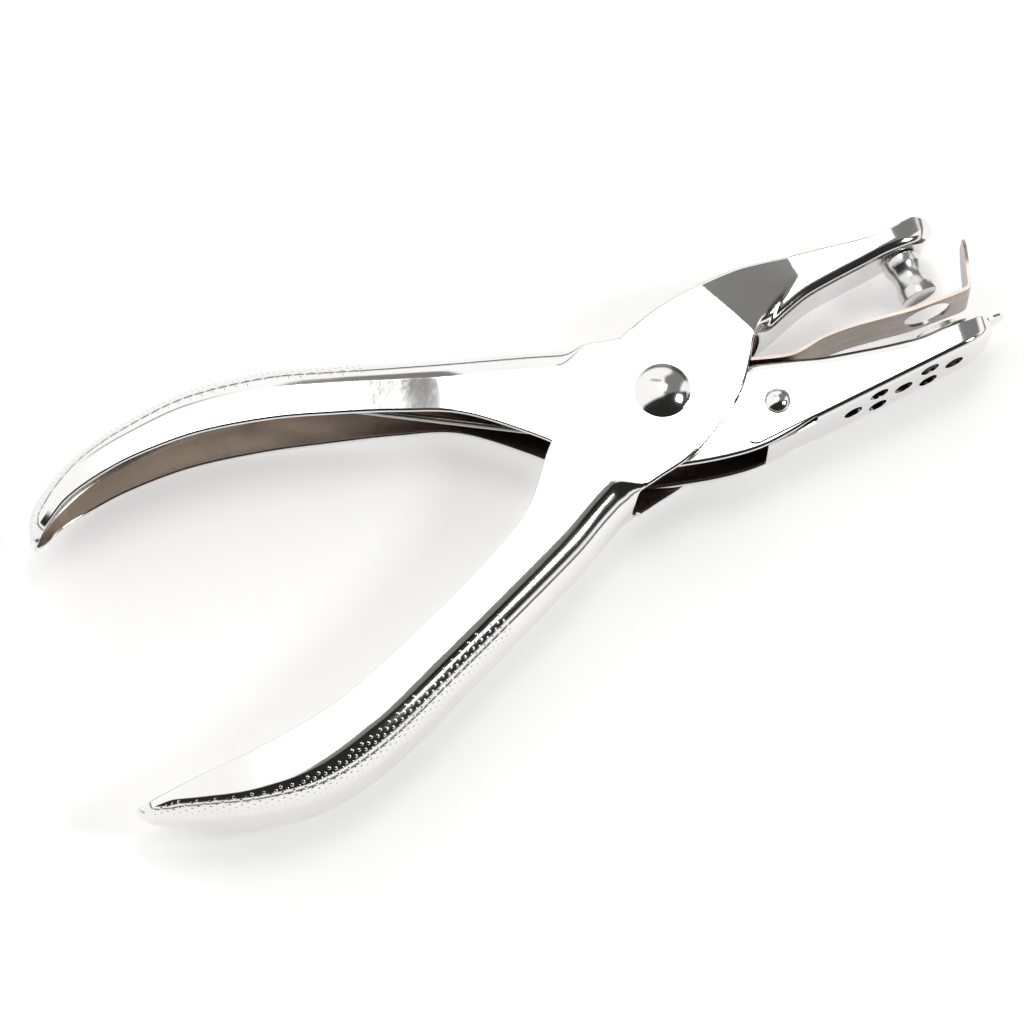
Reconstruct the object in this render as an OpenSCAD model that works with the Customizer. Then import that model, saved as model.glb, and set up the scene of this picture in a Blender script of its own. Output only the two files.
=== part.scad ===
// Single-hole plier punch: two pressed channel levers on one rivet, a punch pin, a die plate,
// a spring stripper strip and a swing-down chip tray. Millimetres. The pivot axis is Z, the jaws
// point along +X, and the tool lies on its side with its lowest flats at z = 0.

/* [Levers] */
// Thickness of the lever sheet
sheet = 1.0; // [0.8:0.05:1.2]
// Full width over the front lever plates at the pivot
front_w = 13.7; // [13.6:0.1:14.4]
// Full width over the rear lever plates at the pivot and its jaw
rear_w = 10.4; // [9.6:0.1:10.6]
// Full width of both handles at the widest part of the grips
grip_w = 17.0; // [15:0.1:19]
// Full width of the upper jaw near its nose
upper_jaw_w = 10.0; // [9:0.1:11]
// Depth of the rounding along the back of the handles
back_round = 5.2; // [3:0.1:6]
// Corner radius of the upper and lower jaw channels
jaw_round = 1.8; // [1.2:0.1:2.4]

/* [Pivot] */
// Radius of the pivot rivet shank
rivet_r = 2.2; // [1.8:0.05:2.6]
// Radius of the pivot rivet head
rivet_head_r = 4.4; // [4:0.1:5]
// Radius of the flat end of each rivet head
rivet_flat_r = 2.6; // [2:0.1:3]
// Outer radius of the spacer tube between the rear lever plates
spacer_r = 3.4; // [3:0.1:4]
// Radial gap between the shank and whatever turns on it
running_gap = 0.05; // [0.02:0.01:0.09]

/* [Spring] */
// Wire radius of the return spring
wire_r = 0.65; // [0.5:0.05:0.8]
// Radius of the coil to the middle of the wire
coil_r = 7.0; // [6:0.1:7.4]
// Height of the coil per turn
coil_pitch = 1.6; // [1.4:0.05:2]

/* [Punch and die] */
// Distance from the pivot axis to the punch axis
punch_x = 44; // [42:0.1:45]
// Radius of the punch at its cutting end
punch_r = 3.0; // [2.5:0.05:3.2]
// Radius of the waist of the punch
waist_r = 2.45; // [2:0.05:2.8]
// Height of the cutting end over the pivot axis plane
punch_tip_y = -2.9; // [-4:0.1:-2]
// Inner radius of the die bush
die_r = 3.5; // [3.45:0.05:3.7]
// Outer radius of the die bush
bush_r = 4.15; // [4:0.05:4.3]

/* [Stripper strip] */
// Thickness of the spring strip
strip_t = 0.5; // [0.3:0.05:0.6]
// Full width of the spring strip
strip_w = 9.9; // [9:0.1:9.9]
// Radius of the hole that the punch passes through
strip_hole_r = 3.8; // [3.7:0.05:4]

/* [Chip tray] */
// Thickness of the tray sheet
tray_t = 0.4; // [0.3:0.05:0.5]
// Full width over the tray walls
tray_w = 11.4; // [11.2:0.05:11.5]
// Radius of the tray rivet shank
tray_rivet_r = 1.3; // [1:0.05:1.5]
// Radius of the tray rivet heads
tray_head_r = 2.05; // [1.8:0.05:2.4]
// Radius of the holes in the floor of the tray
vent_r = 1.55; // [1.3:0.05:1.8]

/* [Hidden] */
$fn = 48;
// One step of the curve drawn between two neighbouring ribs
rib_steps = 2;
// Straight pieces in each rounded corner of a channel
corner_steps = 4;
// Gap left between pieces that lie on one another in the same body
seat_gap = 0.02;
mid_z = grip_w / 2;
front_h = front_w / 2;
rear_h = rear_w / 2;
grip_h = grip_w / 2;
upper_h = upper_jaw_w / 2;
tray_h = tray_w / 2;
strip_h = strip_w / 2;
head_h = grip_h - front_h;
tongue_h = rear_h - sheet - 0.2;
tray_hinge = [15.2, -9.3];
// Where the punch axis ends up when the jaws are closed
die_x = punch_x - 0.9;
// Shank of the punch where it is riveted through the upper jaw
shank_r = 1.6;
// Lengths of the bores that take the punch and the die bush, from the plane of the pivot axis
punch_bore = 7;
bush_bore = 12;
// Middle of the strip's hole, between the open and the closed place of the punch
strip_hole_x = punch_x - 0.35;
// Lowest end and length of the cut for the strip's hole
strip_cut = [-9, 8];
// Ribs of a channel, from the grip to the nose: free edge, back of the web, half width
front_ribs = [
    [[-101.7, -21.4], [-101.9, -22.8], 1.8],
    [[-100.4, -21.7], [-100.9, -23.8], 3.6],
    [[-97.4, -22.1], [-98.3, -25.4], 5.3],
    [[-92.2, -22.5], [-93.4, -28.1], 6.9],
    [[-85.0, -22.9], [-85.8, -31.3], 8.1],
    [[-77.0, -22.9], [-75.6, -33.3], grip_h],
    [[-66.5, -21.6], [-63.5, -31.8], grip_h],
    [[-52.0, -17.4], [-48.6, -27.0], grip_h - 0.6],
    [[-38.5, -12.7], [-34.6, -22.2], grip_h - 1.2],
    [[-27.5, -7.6], [-23.2, -18.1], front_h],
    [[-20.0, -0.5], [-16.0, -15.0], front_h],
    [[-12.8, 5.0], [-9.0, -12.6], front_h],
    [[-5.0, 8.9], [-1.5, -11.5], front_h],
    [[2.0, 11.5], [5.0, -8.9], front_h],
    [[8.0, 12.45], [11.0, -5.3], front_h],
    [[12.8, 12.5], [14.5, -1.6], front_h],
    [[16.4, 12.45], [17.0, 1.4], front_h - 0.3],
    [[20.2, 12.2], [20.4, 1.9], front_h - 0.95],
    [[24.0, 11.5], [24.0, 2.9], upper_h + 0.3],
    [[28.0, 10.6], [28.0, 3.8], upper_h],
    [[33.0, 9.5], [33.0, 4.1], upper_h],
    [[38.0, 8.3], [38.0, 4.2], upper_h],
    [[42.0, 7.6], [42.0, 4.3], upper_h],
    [[45.6, 7.7], [45.4, 4.1], upper_h - 0.3],
    [[48.4, 8.0], [47.9, 3.9], 3.7],
    [[50.1, 7.3], [49.6, 4.5], 2.4],
    [[50.8, 6.4], [50.7, 5.1], 1.15]];
rear_ribs = [
    [[-95.6, 24.2], [-96.2, 25.7], 2.4],
    [[-94.8, 24.6], [-95.7, 27.0], 4.4],
    [[-93.0, 25.4], [-94.3, 28.6], 5.9],
    [[-89.6, 26.7], [-90.6, 30.8], 7.3],
    [[-84.0, 27.5], [-84.4, 33.0], 8.2],
    [[-77.0, 27.7], [-76.6, 34.2], grip_h],
    [[-67.0, 26.6], [-65.6, 34.5], grip_h],
    [[-56.0, 23.6], [-53.0, 31.8], grip_h - 0.3],
    [[-46.5, 20.0], [-42.8, 28.0], grip_h - 1.1],
    [[-37.0, 16.0], [-33.4, 24.2], rear_h + 1.1],
    [[-28.5, 11.6], [-24.4, 20.5], rear_h + 0.1],
    [[-20.5, 3.6], [-13.5, 16.0], rear_h],
    [[-14.2, -4.2], [-5.0, 12.2], rear_h],
    [[-8.0, -9.2], [0.0, 10.7], rear_h],
    [[-1.0, -11.9], [5.0, 8.1], rear_h],
    [[5.0, -13.6], [9.5, 3.4], rear_h],
    [[10.0, -14.4], [12.6, -0.6], rear_h],
    [[15.0, -14.3], [15.8, -2.0], rear_h],
    [[20.5, -13.8], [20.5, -3.8], rear_h],
    [[25.0, -13.7], [25.0, -5.6], rear_h],
    [[30.0, -13.7], [30.0, -7.1], rear_h],
    [[35.0, -13.7], [35.0, -8.5], rear_h],
    [[40.0, -13.7], [40.0, -9.6], rear_h],
    [[44.0, -13.6], [44.0, -9.75], rear_h - 0.1],
    [[47.2, -13.2], [47.3, -9.8], rear_h - 0.9],
    [[48.8, -12.6], [49.0, -10.1], 3.2],
    [[49.8, -12.1], [50.0, -10.5], 2.0],
    [[50.2, -11.9], [50.35, -10.7], 1.15]];
tray_ribs = [
    [[11.2, -4.6], [7.8, -14.75], tray_h],
    [[13.7, -3.2], [12.0, -14.75], tray_h],
    [[16.5, -4.8], [16.0, -14.75], tray_h],
    [[20.0, -7.3], [20.0, -14.75], tray_h],
    [[25.0, -9.7], [25.0, -14.75], tray_h],
    [[30.0, -10.5], [30.0, -14.75], tray_h],
    [[36.5, -10.8], [36.5, -14.75], tray_h],
    [[43.3, -11.1], [43.0, -14.75], tray_h],
    [[47.3, -11.2], [46.6, -14.7], tray_h - 0.3],
    [[49.9, -11.25], [49.2, -14.2], tray_h - 1.4],
    [[51.2, -11.3], [50.9, -13.3], 2.7],
    [[51.7, -11.3], [51.65, -12.2], 0.9]];
// Middle line of the stripper strip, from its root to the bend of its lip
strip_line = [
    [12.8, -0.15], [16.2, -1.7], [20.6, -3.3], [23.4, -3.4], [26.5, -3.15], [31, -3.55],
    [36, -4.5], [41, -5.5], [45.5, -6.0], [49.6, -6.35]];
strip_lip = [[50.5, -6.15], [51.0, -5.5], [54.0, 1.7]];
// Ends of the spring legs, where they bear on the inside of the two webs
front_leg_end = [-57, -27.2];
rear_leg_end = [-57, 30.7];
// Whole turns taken off the angle of the rear leg, so that the wire goes round the rivet
coil_wraps = 3;
// Where the levers have no web, as [from, to] along X, and how round its jaw end is
front_opening = [-11, 18.6];
rear_opening = [-7.5, 12.5];
opening_round = 1.5;
// Amount by which an opening stays inside the plates at its sides
plate_skin = 0.05;
// Length that takes a cut right through the tool
through_cut = 60;
// Punch: edge height, lands, shoulder under the jaw, and the riveted tail above it
punch_hollow = 0.9;
punch_edge = [0.5, 0.25];
punch_land = 1.4;
punch_shoulder = 3.95;
tail = [[2.7, 5.36], [2.5, 6.0], [1.6, 6.5], [0, 6.6]];
// Die bush: height of its top, depth and chamfer
die_top = -9.1;
die_depth = 2.1;
die_chamfer = 0.2;
// Tray rivet head: radius of its flat and height
tray_flat_r = 0.6;
tray_head_h = 1.0;
// Tray vents: first one, pitch of the middle row and distance of the outer rows
vent_from = 25.9;
vent_pitch = 8.85;
vent_side = 2.5;
// Bend relief of the tray: where it ends, its top, and the rounded corner of each ear
relief_to = 19.4;
relief_top = -13.9;
ear_corner = [9.8, -12.3];
ear_round = 1.6;
// Rear end of the tray floor between the plates
floor_from = 10.8;
// Thumb lip: where it leaves the tray, its radius and its height
lip_from = 51.3;
lip_r = 2.3;
lip_y = -11.75;
// Lowest end of every cut up into the tray floor, and how far the floor and vent cuts reach
tray_cut_from = -16;
floor_cut = 2.1;
vent_cut = 3;

// Smooth curve through a list of values, with u running from 0 to the last index
function pick(list, i) = list[max(0, min(len(list) - 1, i))];
function through(list, u) =
    let (i = min(floor(u), len(list) - 2))
    let (f = u - i)
    let (a = pick(list, i - 1), b = pick(list, i), c = pick(list, i + 1), d = pick(list, i + 2))
    b + 0.5 * f * (c - a + f * (2 * a - 5 * b + 4 * c - d + f * (3 * (b - c) + d - a)));
function column(rows, k) = [for (row = rows) row[k]];
function smooth(points, steps) =
    [for (k = [0 : steps * (len(points) - 1)]) through(points, k / steps)];

// Half outline of a channel section as [depth, half width], from the free edge to the back
function half_section(depth, half, ry, rz) = concat(
    [[0, half]],
    [for (k = [0 : corner_steps])
        let (a = 90 * k / corner_steps)
        [depth - ry + ry * sin(a), half - rz + rz * cos(a)]]);
function reversed(list) = [for (k = [len(list) - 1 : -1 : 0]) list[k]];
function mirrored(list) = [for (p = reversed(list)) [p[0], -p[1]]];
function both_sides(half) = concat(half, mirrored(half));

// Closed outline of a channel section: outer skin, then inner skin back again
function section(depth, half, t, ry, rz) =
    let (oy = min(ry, 0.75 * depth), oz = min(rz, 0.75 * half))
    let (id = depth - t, ih = half - t)
    let (iy = max(oy - t, min(0.3, 0.5 * id)), iz = max(oz - t, min(0.3, 0.5 * ih)))
    concat(
        both_sides(half_section(depth, half, oy, oz)),
        reversed(both_sides(half_section(id, ih, iy, iz))));
function place(edge, back, shape) =
    let (d = (back - edge) / norm(back - edge))
    [for (p = shape) [edge[0] + d[0] * p[0], edge[1] + d[1] * p[0], p[1]]];

// Channel skinned over its ribs. Its corners are [depth, width] radii at the first rib and,
// past the plates, at the last; back_side is -1 where the web is on the -Y side, else 1.
module channel(ribs, t, grip_corner, jaw_corner, plates_at, back_side) {
    edges = column(ribs, 0);
    backs = column(ribs, 1);
    halves = column(ribs, 2);
    count = rib_steps * (len(ribs) - 1);
    rings = [for (k = [0 : count])
        let (u = k / rib_steps)
        let (e = through(edges, u), b = through(backs, u), h = min(grip_h, through(halves, u)))
        let (c = grip_corner + (jaw_corner - grip_corner) * step(u, plates_at))
        place(e, b, section(norm(b - e), h, t, c[0], c[1]))];
    n = len(rings[0]);
    points = [for (ring = rings) for (p = ring) p];
    sides = [for (k = [0 : count - 1]) for (j = [0 : n - 1])
        let (a = k * n + j, b = k * n + (j + 1) % n)
        for (f = [[a, a + n, b], [b, a + n, b + n]]) f];
    first = [for (j = [0 : n / 2 - 2])
        for (f = [[j, j + 1, n - 1 - j], [j + 1, n - 2 - j, n - 1 - j]]) f];
    last = [for (f = first) [for (i = reversed(f)) i + count * n]];
    faces = concat(sides, first, last);
    polyhedron(points = points, faces = back_side > 0 ? [for (f = faces) reversed(f)] : faces,
        convexity = 6);
}
// Runs from 0 to 1 over the two ribs after the given one
function step(u, at) = let (f = max(0, min(1, (u - at) / 2))) f * f * (3 - 2 * f);

// Rod along Z with heads at both ends, each head a low dome with a flat end
module headed_rod(shank, head, flat, from, height) {
    for (side = [0, 1]) mirror([0, 0, side])
        rotate_extrude()
            polygon(concat(
                [[0, -0.01], [shank, -0.01], [shank, from], [head, from]],
                [for (a = [15 : 15 : 75])
                    [flat + (head - flat) * cos(a), from + height * sin(a)]],
                [[flat, from + height], [0, from + height]]));
}

module front_lever() {
    color([0.86, 0.87, 0.88])
    difference() {
        channel(front_ribs, sheet, [back_round, back_round], [jaw_round, jaw_round], 9, -1);
        web_opening(front_opening[0], front_opening[1], front_h);
        cylinder(r = rivet_r + seat_gap, h = 4 * front_h, center = true);
        translate([punch_x, 0, 0]) rotate([-90, 0, 0])
            cylinder(r = shank_r + seat_gap, h = punch_bore);
    }
}

// Space without a web from x = from to x = to, with rounded corners
module web_opening(from, to, half) {
    w = 2 * (half - sheet - plate_skin);
    r = opening_round;
    y = -through_cut / 2;
    translate([from, y, -w / 2]) cube([to - from - r, through_cut, w]);
    translate([from, y, r - w / 2]) cube([to - from, through_cut, w - 2 * r]);
    for (side = [-1, 1])
        translate([to - r, y, side * (w / 2 - r)]) rotate([-90, 0, 0])
            cylinder(r = r, h = through_cut);
}

module rear_lever() {
    color([0.84, 0.85, 0.86])
    difference() {
        channel(rear_ribs, sheet, [back_round - 1.2, back_round], [jaw_round, jaw_round],
            10, 1);
        web_opening(rear_opening[0], rear_opening[1], rear_h);
        cylinder(r = rivet_r + running_gap, h = 4 * front_h, center = true);
        translate([tray_hinge[0], tray_hinge[1], 0])
            cylinder(r = tray_rivet_r + seat_gap, h = 4 * front_h, center = true);
        translate([die_x, 0, 0]) rotate([90, 0, 0]) cylinder(r = bush_r + seat_gap, h = bush_bore);
    }
}

module pivot_rivet() {
    color([0.8, 0.81, 0.82])
    headed_rod(rivet_r, rivet_head_r, rivet_flat_r, front_h + seat_gap, head_h - seat_gap);
}

module pivot_spacer() {
    color([0.6, 0.6, 0.6])
    difference() {
        cylinder(r = spacer_r, h = 2 * (rear_h - sheet - 0.1), center = true);
        cylinder(r = rivet_r + running_gap, h = 2 * rear_h, center = true);
    }
}

// Angle at which a straight leg from the given point meets the coil
function leg_angle(end, side) =
    atan2(end[1], end[0]) + side * acos(coil_r / norm(end));

module return_spring() {
    from = leg_angle(front_leg_end, -1);
    to = leg_angle(rear_leg_end, 1) - 360 * coil_wraps;
    turns = (from - to) / 360;
    steps = 18 * coil_wraps;
    height = coil_pitch * turns;
    coil = [for (k = [0 : steps])
        let (a = from + (to - from) * k / steps)
        [coil_r * cos(a), coil_r * sin(a), height * (k / steps - 0.5)]];
    path = concat(
        [[front_leg_end[0], front_leg_end[1], -height / 2]], coil,
        [[rear_leg_end[0], rear_leg_end[1], height / 2]]);
    color([0.55, 0.56, 0.58]) wire(path, wire_r, 8);
}

// Round wire along a path that lies nearly flat
module wire(path, r, n) {
    last = len(path) - 1;
    rings = [for (k = [0 : last])
        let (d = path[min(k + 1, last)] - path[max(k - 1, 0)])
        let (side = [-d[1], d[0], 0] / norm([d[0], d[1]]))
        [for (j = [0 : n - 1]) path[k] + r * (side * cos(360 * j / n) + [0, 0, sin(360 * j / n)])]];
    sides = [for (k = [0 : last - 1]) for (j = [0 : n - 1])
        let (a = k * n + j, b = k * n + (j + 1) % n)
        for (f = [[a, b, a + n], [b, b + n, a + n]]) f];
    first = [for (j = [1 : n - 2]) [0, j + 1, j]];
    end = [for (j = [1 : n - 2]) [last * n, last * n + j, last * n + j + 1]];
    polyhedron(points = [for (ring = rings) for (p = ring) p],
        faces = concat(sides, first, end), convexity = 6);
}

// Turned shape about an axis parallel to +Y
module upright(x) {
    translate([x, 0, 0]) rotate([-90, 0, 0]) children();
}

module punch_pin() {
    low = punch_tip_y + punch_land;
    high = punch_shoulder - punch_land;
    color([0.78, 0.79, 0.8])
    upright(punch_x) rotate_extrude()
        polygon(concat(
            [[0, punch_tip_y + punch_hollow],
                [punch_r - punch_edge[0], punch_tip_y + punch_edge[1]],
                [punch_r, punch_tip_y]],
            [for (k = [0 : 8])
                [punch_r - (punch_r - waist_r) * sin(180 * k / 8), low + (high - low) * k / 8]],
            [[punch_r, punch_shoulder], [shank_r, punch_shoulder], [shank_r, tail[0][1]]],
            tail));
}

module die_bush() {
    color([0.74, 0.75, 0.76])
    upright(die_x) rotate_extrude()
        polygon([[die_r, die_top - die_depth], [bush_r, die_top - die_depth],
            [bush_r, die_top - die_chamfer], [bush_r - die_chamfer, die_top],
            [die_r, die_top]]);
}

// Band of the given thickness on both sides of a line
function band(line, t) =
    let (last = len(line) - 1)
    let (side = [for (k = [0 : last])
        let (d = line[min(k + 1, last)] - line[max(k - 1, 0)])
        [-d[1], d[0]] * t / 2 / norm(d)])
    concat([for (k = [0 : last]) line[k] + side[k]],
        [for (k = [last : -1 : 0]) line[k] - side[k]]);

module stripper_strip() {
    top = strip_lip[2][1] + strip_t;
    round_r = strip_h;
    color([0.7, 0.68, 0.64])
    difference() {
        intersection() {
            translate([0, 0, -strip_h]) linear_extrude(strip_w)
                polygon(band(concat(smooth(strip_line, 2), strip_lip), strip_t));
            union() {
                translate([0, -20, -strip_h - 1]) cube([60, 20 + top - round_r, strip_w + 2]);
                translate([0, top - round_r, 0]) rotate([0, 90, 0])
                    cylinder(r = round_r, h = 60);
            }
        }
        upright(strip_hole_x) translate([0, 0, strip_cut[0]])
            cylinder(r = strip_hole_r, h = strip_cut[1]);
    }
}

module tray_rivet() {
    color([0.8, 0.81, 0.82])
    translate([tray_hinge[0], tray_hinge[1], 0])
        headed_rod(tray_rivet_r, tray_head_r, tray_flat_r, tray_h + seat_gap, tray_head_h);
}

module chip_tray() {
    color([0.88, 0.88, 0.88])
    difference() {
        union() {
            channel(tray_ribs, tray_t, [0.9, 0.9], [0.9, 0.9], 3, -1);
            thumb_lip();
        }
        for (side = [-1, 1]) ear_relief(side);
        translate([0, tray_cut_from, -tongue_h - 1])
            cube([floor_from, floor_cut, 2 * tongue_h + 2]);
        translate([tray_hinge[0], tray_hinge[1], 0])
            cylinder(r = tray_rivet_r + running_gap, h = 4 * tray_h, center = true);
        for (k = [0 : 2]) vent(vent_from + vent_pitch * k, 0);
        for (k = [0, 1], side = [-1, 1])
            vent(vent_from + vent_pitch * (k + 0.5), vent_side * side);
    }
}

// Small tab past the nose that a thumb pushes to swing the tray down
module thumb_lip() {
    intersection() {
        translate([lip_from + 0.5, lip_y, 0]) rotate([-90, 0, 0]) cylinder(r = lip_r, h = tray_t);
        translate([lip_from, lip_y - 1, -lip_r - 1]) cube([4, 2, 2 * lip_r + 2]);
    }
}

// Bend relief that leaves an ear with a rounded corner at each side of a narrow tongue
module ear_relief(side) {
    from_z = side > 0 ? tongue_h : -tray_h - 1;
    thick = tray_h + 1 - tongue_h;
    translate([0, relief_top - floor_cut, from_z]) cube([relief_to, floor_cut, thick]);
    translate([0, 0, from_z]) linear_extrude(thick)
        difference() {
            translate([0, relief_top - 2]) square([ear_corner[0], ear_corner[1] - relief_top + 2]);
            translate(ear_corner) circle(r = ear_round);
        }
}

module vent(x, z) {
    translate([x, tray_cut_from, z]) rotate([-90, 0, 0]) cylinder(r = vent_r, h = vent_cut);
}

// Lifts a sub-part from the middle plane of the tool to the plane it rests on
module lifted() {
    translate([0, 0, mid_z]) children();
}

lifted() front_lever();
lifted() rear_lever();
lifted() pivot_rivet();
lifted() pivot_spacer();
lifted() return_spring();
lifted() punch_pin();
lifted() die_bush();
lifted() stripper_strip();
lifted() tray_rivet();
lifted() chip_tray();
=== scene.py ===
"""Looks of a single-hole plier punch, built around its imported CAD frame."""
import math
from collections import namedtuple

import bmesh
import bpy
import numpy as np
from mathutils import Matrix, Vector


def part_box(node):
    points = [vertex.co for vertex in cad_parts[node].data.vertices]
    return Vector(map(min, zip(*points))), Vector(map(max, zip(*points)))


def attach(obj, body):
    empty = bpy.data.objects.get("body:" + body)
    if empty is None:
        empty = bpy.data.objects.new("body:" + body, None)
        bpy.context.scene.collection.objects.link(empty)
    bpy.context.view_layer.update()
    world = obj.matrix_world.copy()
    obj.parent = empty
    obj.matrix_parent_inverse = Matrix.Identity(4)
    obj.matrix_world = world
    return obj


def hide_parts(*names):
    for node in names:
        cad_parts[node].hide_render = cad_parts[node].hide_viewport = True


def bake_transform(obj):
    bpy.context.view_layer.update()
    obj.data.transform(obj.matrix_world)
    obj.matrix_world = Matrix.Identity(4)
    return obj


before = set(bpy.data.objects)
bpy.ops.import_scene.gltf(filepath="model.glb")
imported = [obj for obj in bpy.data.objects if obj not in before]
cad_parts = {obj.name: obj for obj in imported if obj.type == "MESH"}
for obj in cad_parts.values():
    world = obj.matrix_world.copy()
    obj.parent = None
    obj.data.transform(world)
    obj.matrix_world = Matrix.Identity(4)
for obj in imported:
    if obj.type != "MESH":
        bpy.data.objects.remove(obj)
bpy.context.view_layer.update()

MM = 0.001
UPPER, LOWER, STRIP, TRAY = "upper_jaw_lever", "lower_jaw_lever", "stripper", "tray"

# Sizes in millimetres, measured from the middle plane of the tool
rivet_low, rivet_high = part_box("pivot_rivet")
MID_Z = (rivet_low.z + rivet_high.z) / 2 / MM
GRIP_H = (rivet_high.z - rivet_low.z) / 2 / MM
# Half widths of the lever plates, the upper jaw, the tray and the stripper strip
FRONT_H, REAR_H, JAW_H, TRAY_H, STRIP_H = 6.85, 5.2, 5.0, 5.7, 4.95
# Thickness of the lever sheet, the tray and the strip
SHEET, TRAY_T, STRIP_T = 1.0, 0.4, 0.5
# Share of the front plates' width that is left at the upper jaw
NARROW = JAW_H / FRONT_H
# Rounding of the grips' backs, of the jaws' corners and of the tray's corners
BACK_ROUND, JAW_ROUND, TRAY_ROUND = 5.2, 1.8, 0.9
# Places along the jaws of the punch, the middle of the strip's hole and the die
PUNCH_X, STRIP_HOLE_X, DIE_X = 44.0, 43.65, 43.1
TRAY_HINGE = (15.2, -9.3, 0)
# The dots on a grip end here, on their way to the pivot
DOTS_END = -38.0

# Ribs from the grip to the nose: free edge, back of the web, half width. The upper jaw's ribs
# keep the plates' width, because narrowing() draws it in.
FRONT_RIBS = [
    [(-101.7, -21.4), (-101.9, -22.8), 1.8], [(-100.4, -21.7), (-100.9, -23.8), 3.6],
    [(-97.4, -22.1), (-98.3, -25.4), 5.3], [(-92.2, -22.5), (-93.4, -28.1), 6.9],
    [(-85.0, -22.9), (-85.8, -31.3), 8.1], [(-77.0, -22.9), (-75.6, -33.3), GRIP_H],
    [(-66.5, -21.6), (-63.5, -31.8), GRIP_H], [(-52.0, -17.4), (-48.6, -27.0), GRIP_H - 0.6],
    [(-38.5, -12.7), (-34.6, -22.2), GRIP_H - 1.2], [(-27.5, -7.6), (-23.2, -18.1), FRONT_H],
    [(-20.0, -0.5), (-16.0, -15.0), FRONT_H], [(-12.8, 5.0), (-9.0, -12.6), FRONT_H],
    [(-5.0, 8.9), (-1.5, -11.5), FRONT_H], [(2.0, 11.5), (5.0, -8.9), FRONT_H],
    [(8.0, 12.45), (11.0, -5.3), FRONT_H], [(12.8, 12.5), (14.5, -1.6), FRONT_H],
    [(16.4, 12.45), (17.0, 1.4), FRONT_H], [(20.2, 12.2), (20.4, 1.9), FRONT_H],
    [(24.0, 11.5), (24.0, 2.9), FRONT_H], [(28.0, 10.6), (28.0, 3.8), FRONT_H],
    [(33.0, 9.5), (33.0, 4.1), FRONT_H], [(38.0, 8.3), (38.0, 4.2), FRONT_H],
    [(42.0, 7.6), (42.0, 4.3), FRONT_H], [(45.6, 7.7), (45.4, 4.1), 4.7 / NARROW],
    [(48.4, 8.0), (47.9, 3.9), 3.7 / NARROW], [(50.1, 7.3), (49.6, 4.5), 2.4 / NARROW],
    [(50.8, 6.4), (50.7, 5.1), 1.15 / NARROW]]
REAR_RIBS = [
    [(-95.6, 24.2), (-96.2, 25.7), 2.4], [(-94.8, 24.6), (-95.7, 27.0), 4.4],
    [(-93.0, 25.4), (-94.3, 28.6), 5.9], [(-89.6, 26.7), (-90.6, 30.8), 7.3],
    [(-84.0, 27.5), (-84.4, 33.0), 8.2], [(-77.0, 27.7), (-76.6, 34.2), GRIP_H],
    [(-67.0, 26.6), (-65.6, 34.5), GRIP_H], [(-56.0, 23.6), (-53.0, 31.8), GRIP_H - 0.3],
    [(-46.5, 20.0), (-42.8, 28.0), GRIP_H - 1.1], [(-37.0, 16.0), (-33.4, 24.2), REAR_H + 1.1],
    [(-28.5, 11.6), (-24.4, 20.5), REAR_H + 0.1], [(-20.5, 3.6), (-13.5, 16.0), REAR_H],
    [(-14.2, -4.2), (-5.0, 12.2), REAR_H], [(-8.0, -9.2), (0.0, 10.7), REAR_H],
    [(-1.0, -11.9), (5.0, 8.1), REAR_H], [(5.0, -13.6), (9.5, 3.4), REAR_H],
    [(10.0, -14.4), (12.6, -0.6), REAR_H], [(15.0, -14.3), (15.8, -2.0), REAR_H],
    [(20.5, -13.8), (20.5, -3.8), REAR_H], [(25.0, -13.7), (25.0, -5.6), REAR_H],
    [(30.0, -13.7), (30.0, -7.1), REAR_H], [(35.0, -13.7), (35.0, -8.5), REAR_H],
    [(40.0, -13.7), (40.0, -9.6), REAR_H], [(44.0, -13.6), (44.0, -9.75), REAR_H - 0.1],
    [(47.2, -13.2), (47.3, -9.8), REAR_H - 0.9], [(48.8, -12.6), (49.0, -10.1), 3.2],
    [(49.8, -12.1), (50.0, -10.5), 2.0], [(50.2, -11.9), (50.35, -10.7), 1.15]]
TRAY_RIBS = [
    [(11.2, -4.6), (7.8, -14.75), TRAY_H], [(13.7, -3.2), (12.0, -14.75), TRAY_H],
    [(16.5, -4.8), (16.0, -14.75), TRAY_H], [(20.0, -7.3), (20.0, -14.75), TRAY_H],
    [(25.0, -9.7), (25.0, -14.75), TRAY_H], [(30.0, -10.5), (30.0, -14.75), TRAY_H],
    [(36.5, -10.8), (36.5, -14.75), TRAY_H], [(43.3, -11.1), (43.0, -14.75), TRAY_H],
    [(47.3, -11.2), (46.6, -14.7), TRAY_H - 0.3], [(49.9, -11.25), (49.2, -14.2), TRAY_H - 1.4],
    [(51.2, -11.3), (50.9, -13.3), 2.7], [(51.7, -11.3), (51.65, -12.2), 0.9]]


def clamp01(value):
    return min(1.0, max(0.0, value))


def ease(value):
    t = clamp01(value)
    return t * t * (3 - 2 * t)


def mix(a, b, t):
    return a + (b - a) * t


def through(rows, u):
    """Catmull-Rom curve through rows of numbers; u runs from 0 to the last index."""
    last = len(rows) - 1
    i = min(int(u), last - 1)
    f = u - i
    a, b, c, d = (rows[max(0, min(last, k))] for k in range(i - 1, i + 3))
    return b + 0.5 * f * (c - a + f * (2 * a - 5 * b + 4 * c - d + f * (3 * (b - c) + d - a)))


# ---------------------------------------------------------------- materials

# Painted shade on the channels' inner skin darkens between these places, in metres along X
SHADE_FROM, SHADE_TO = -0.052, -0.018
# Size of the smudges and the depth of the ground surface, for every finish
PATCH_SCALE, GROUND_DEPTH = 70.0, 0.0002


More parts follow.
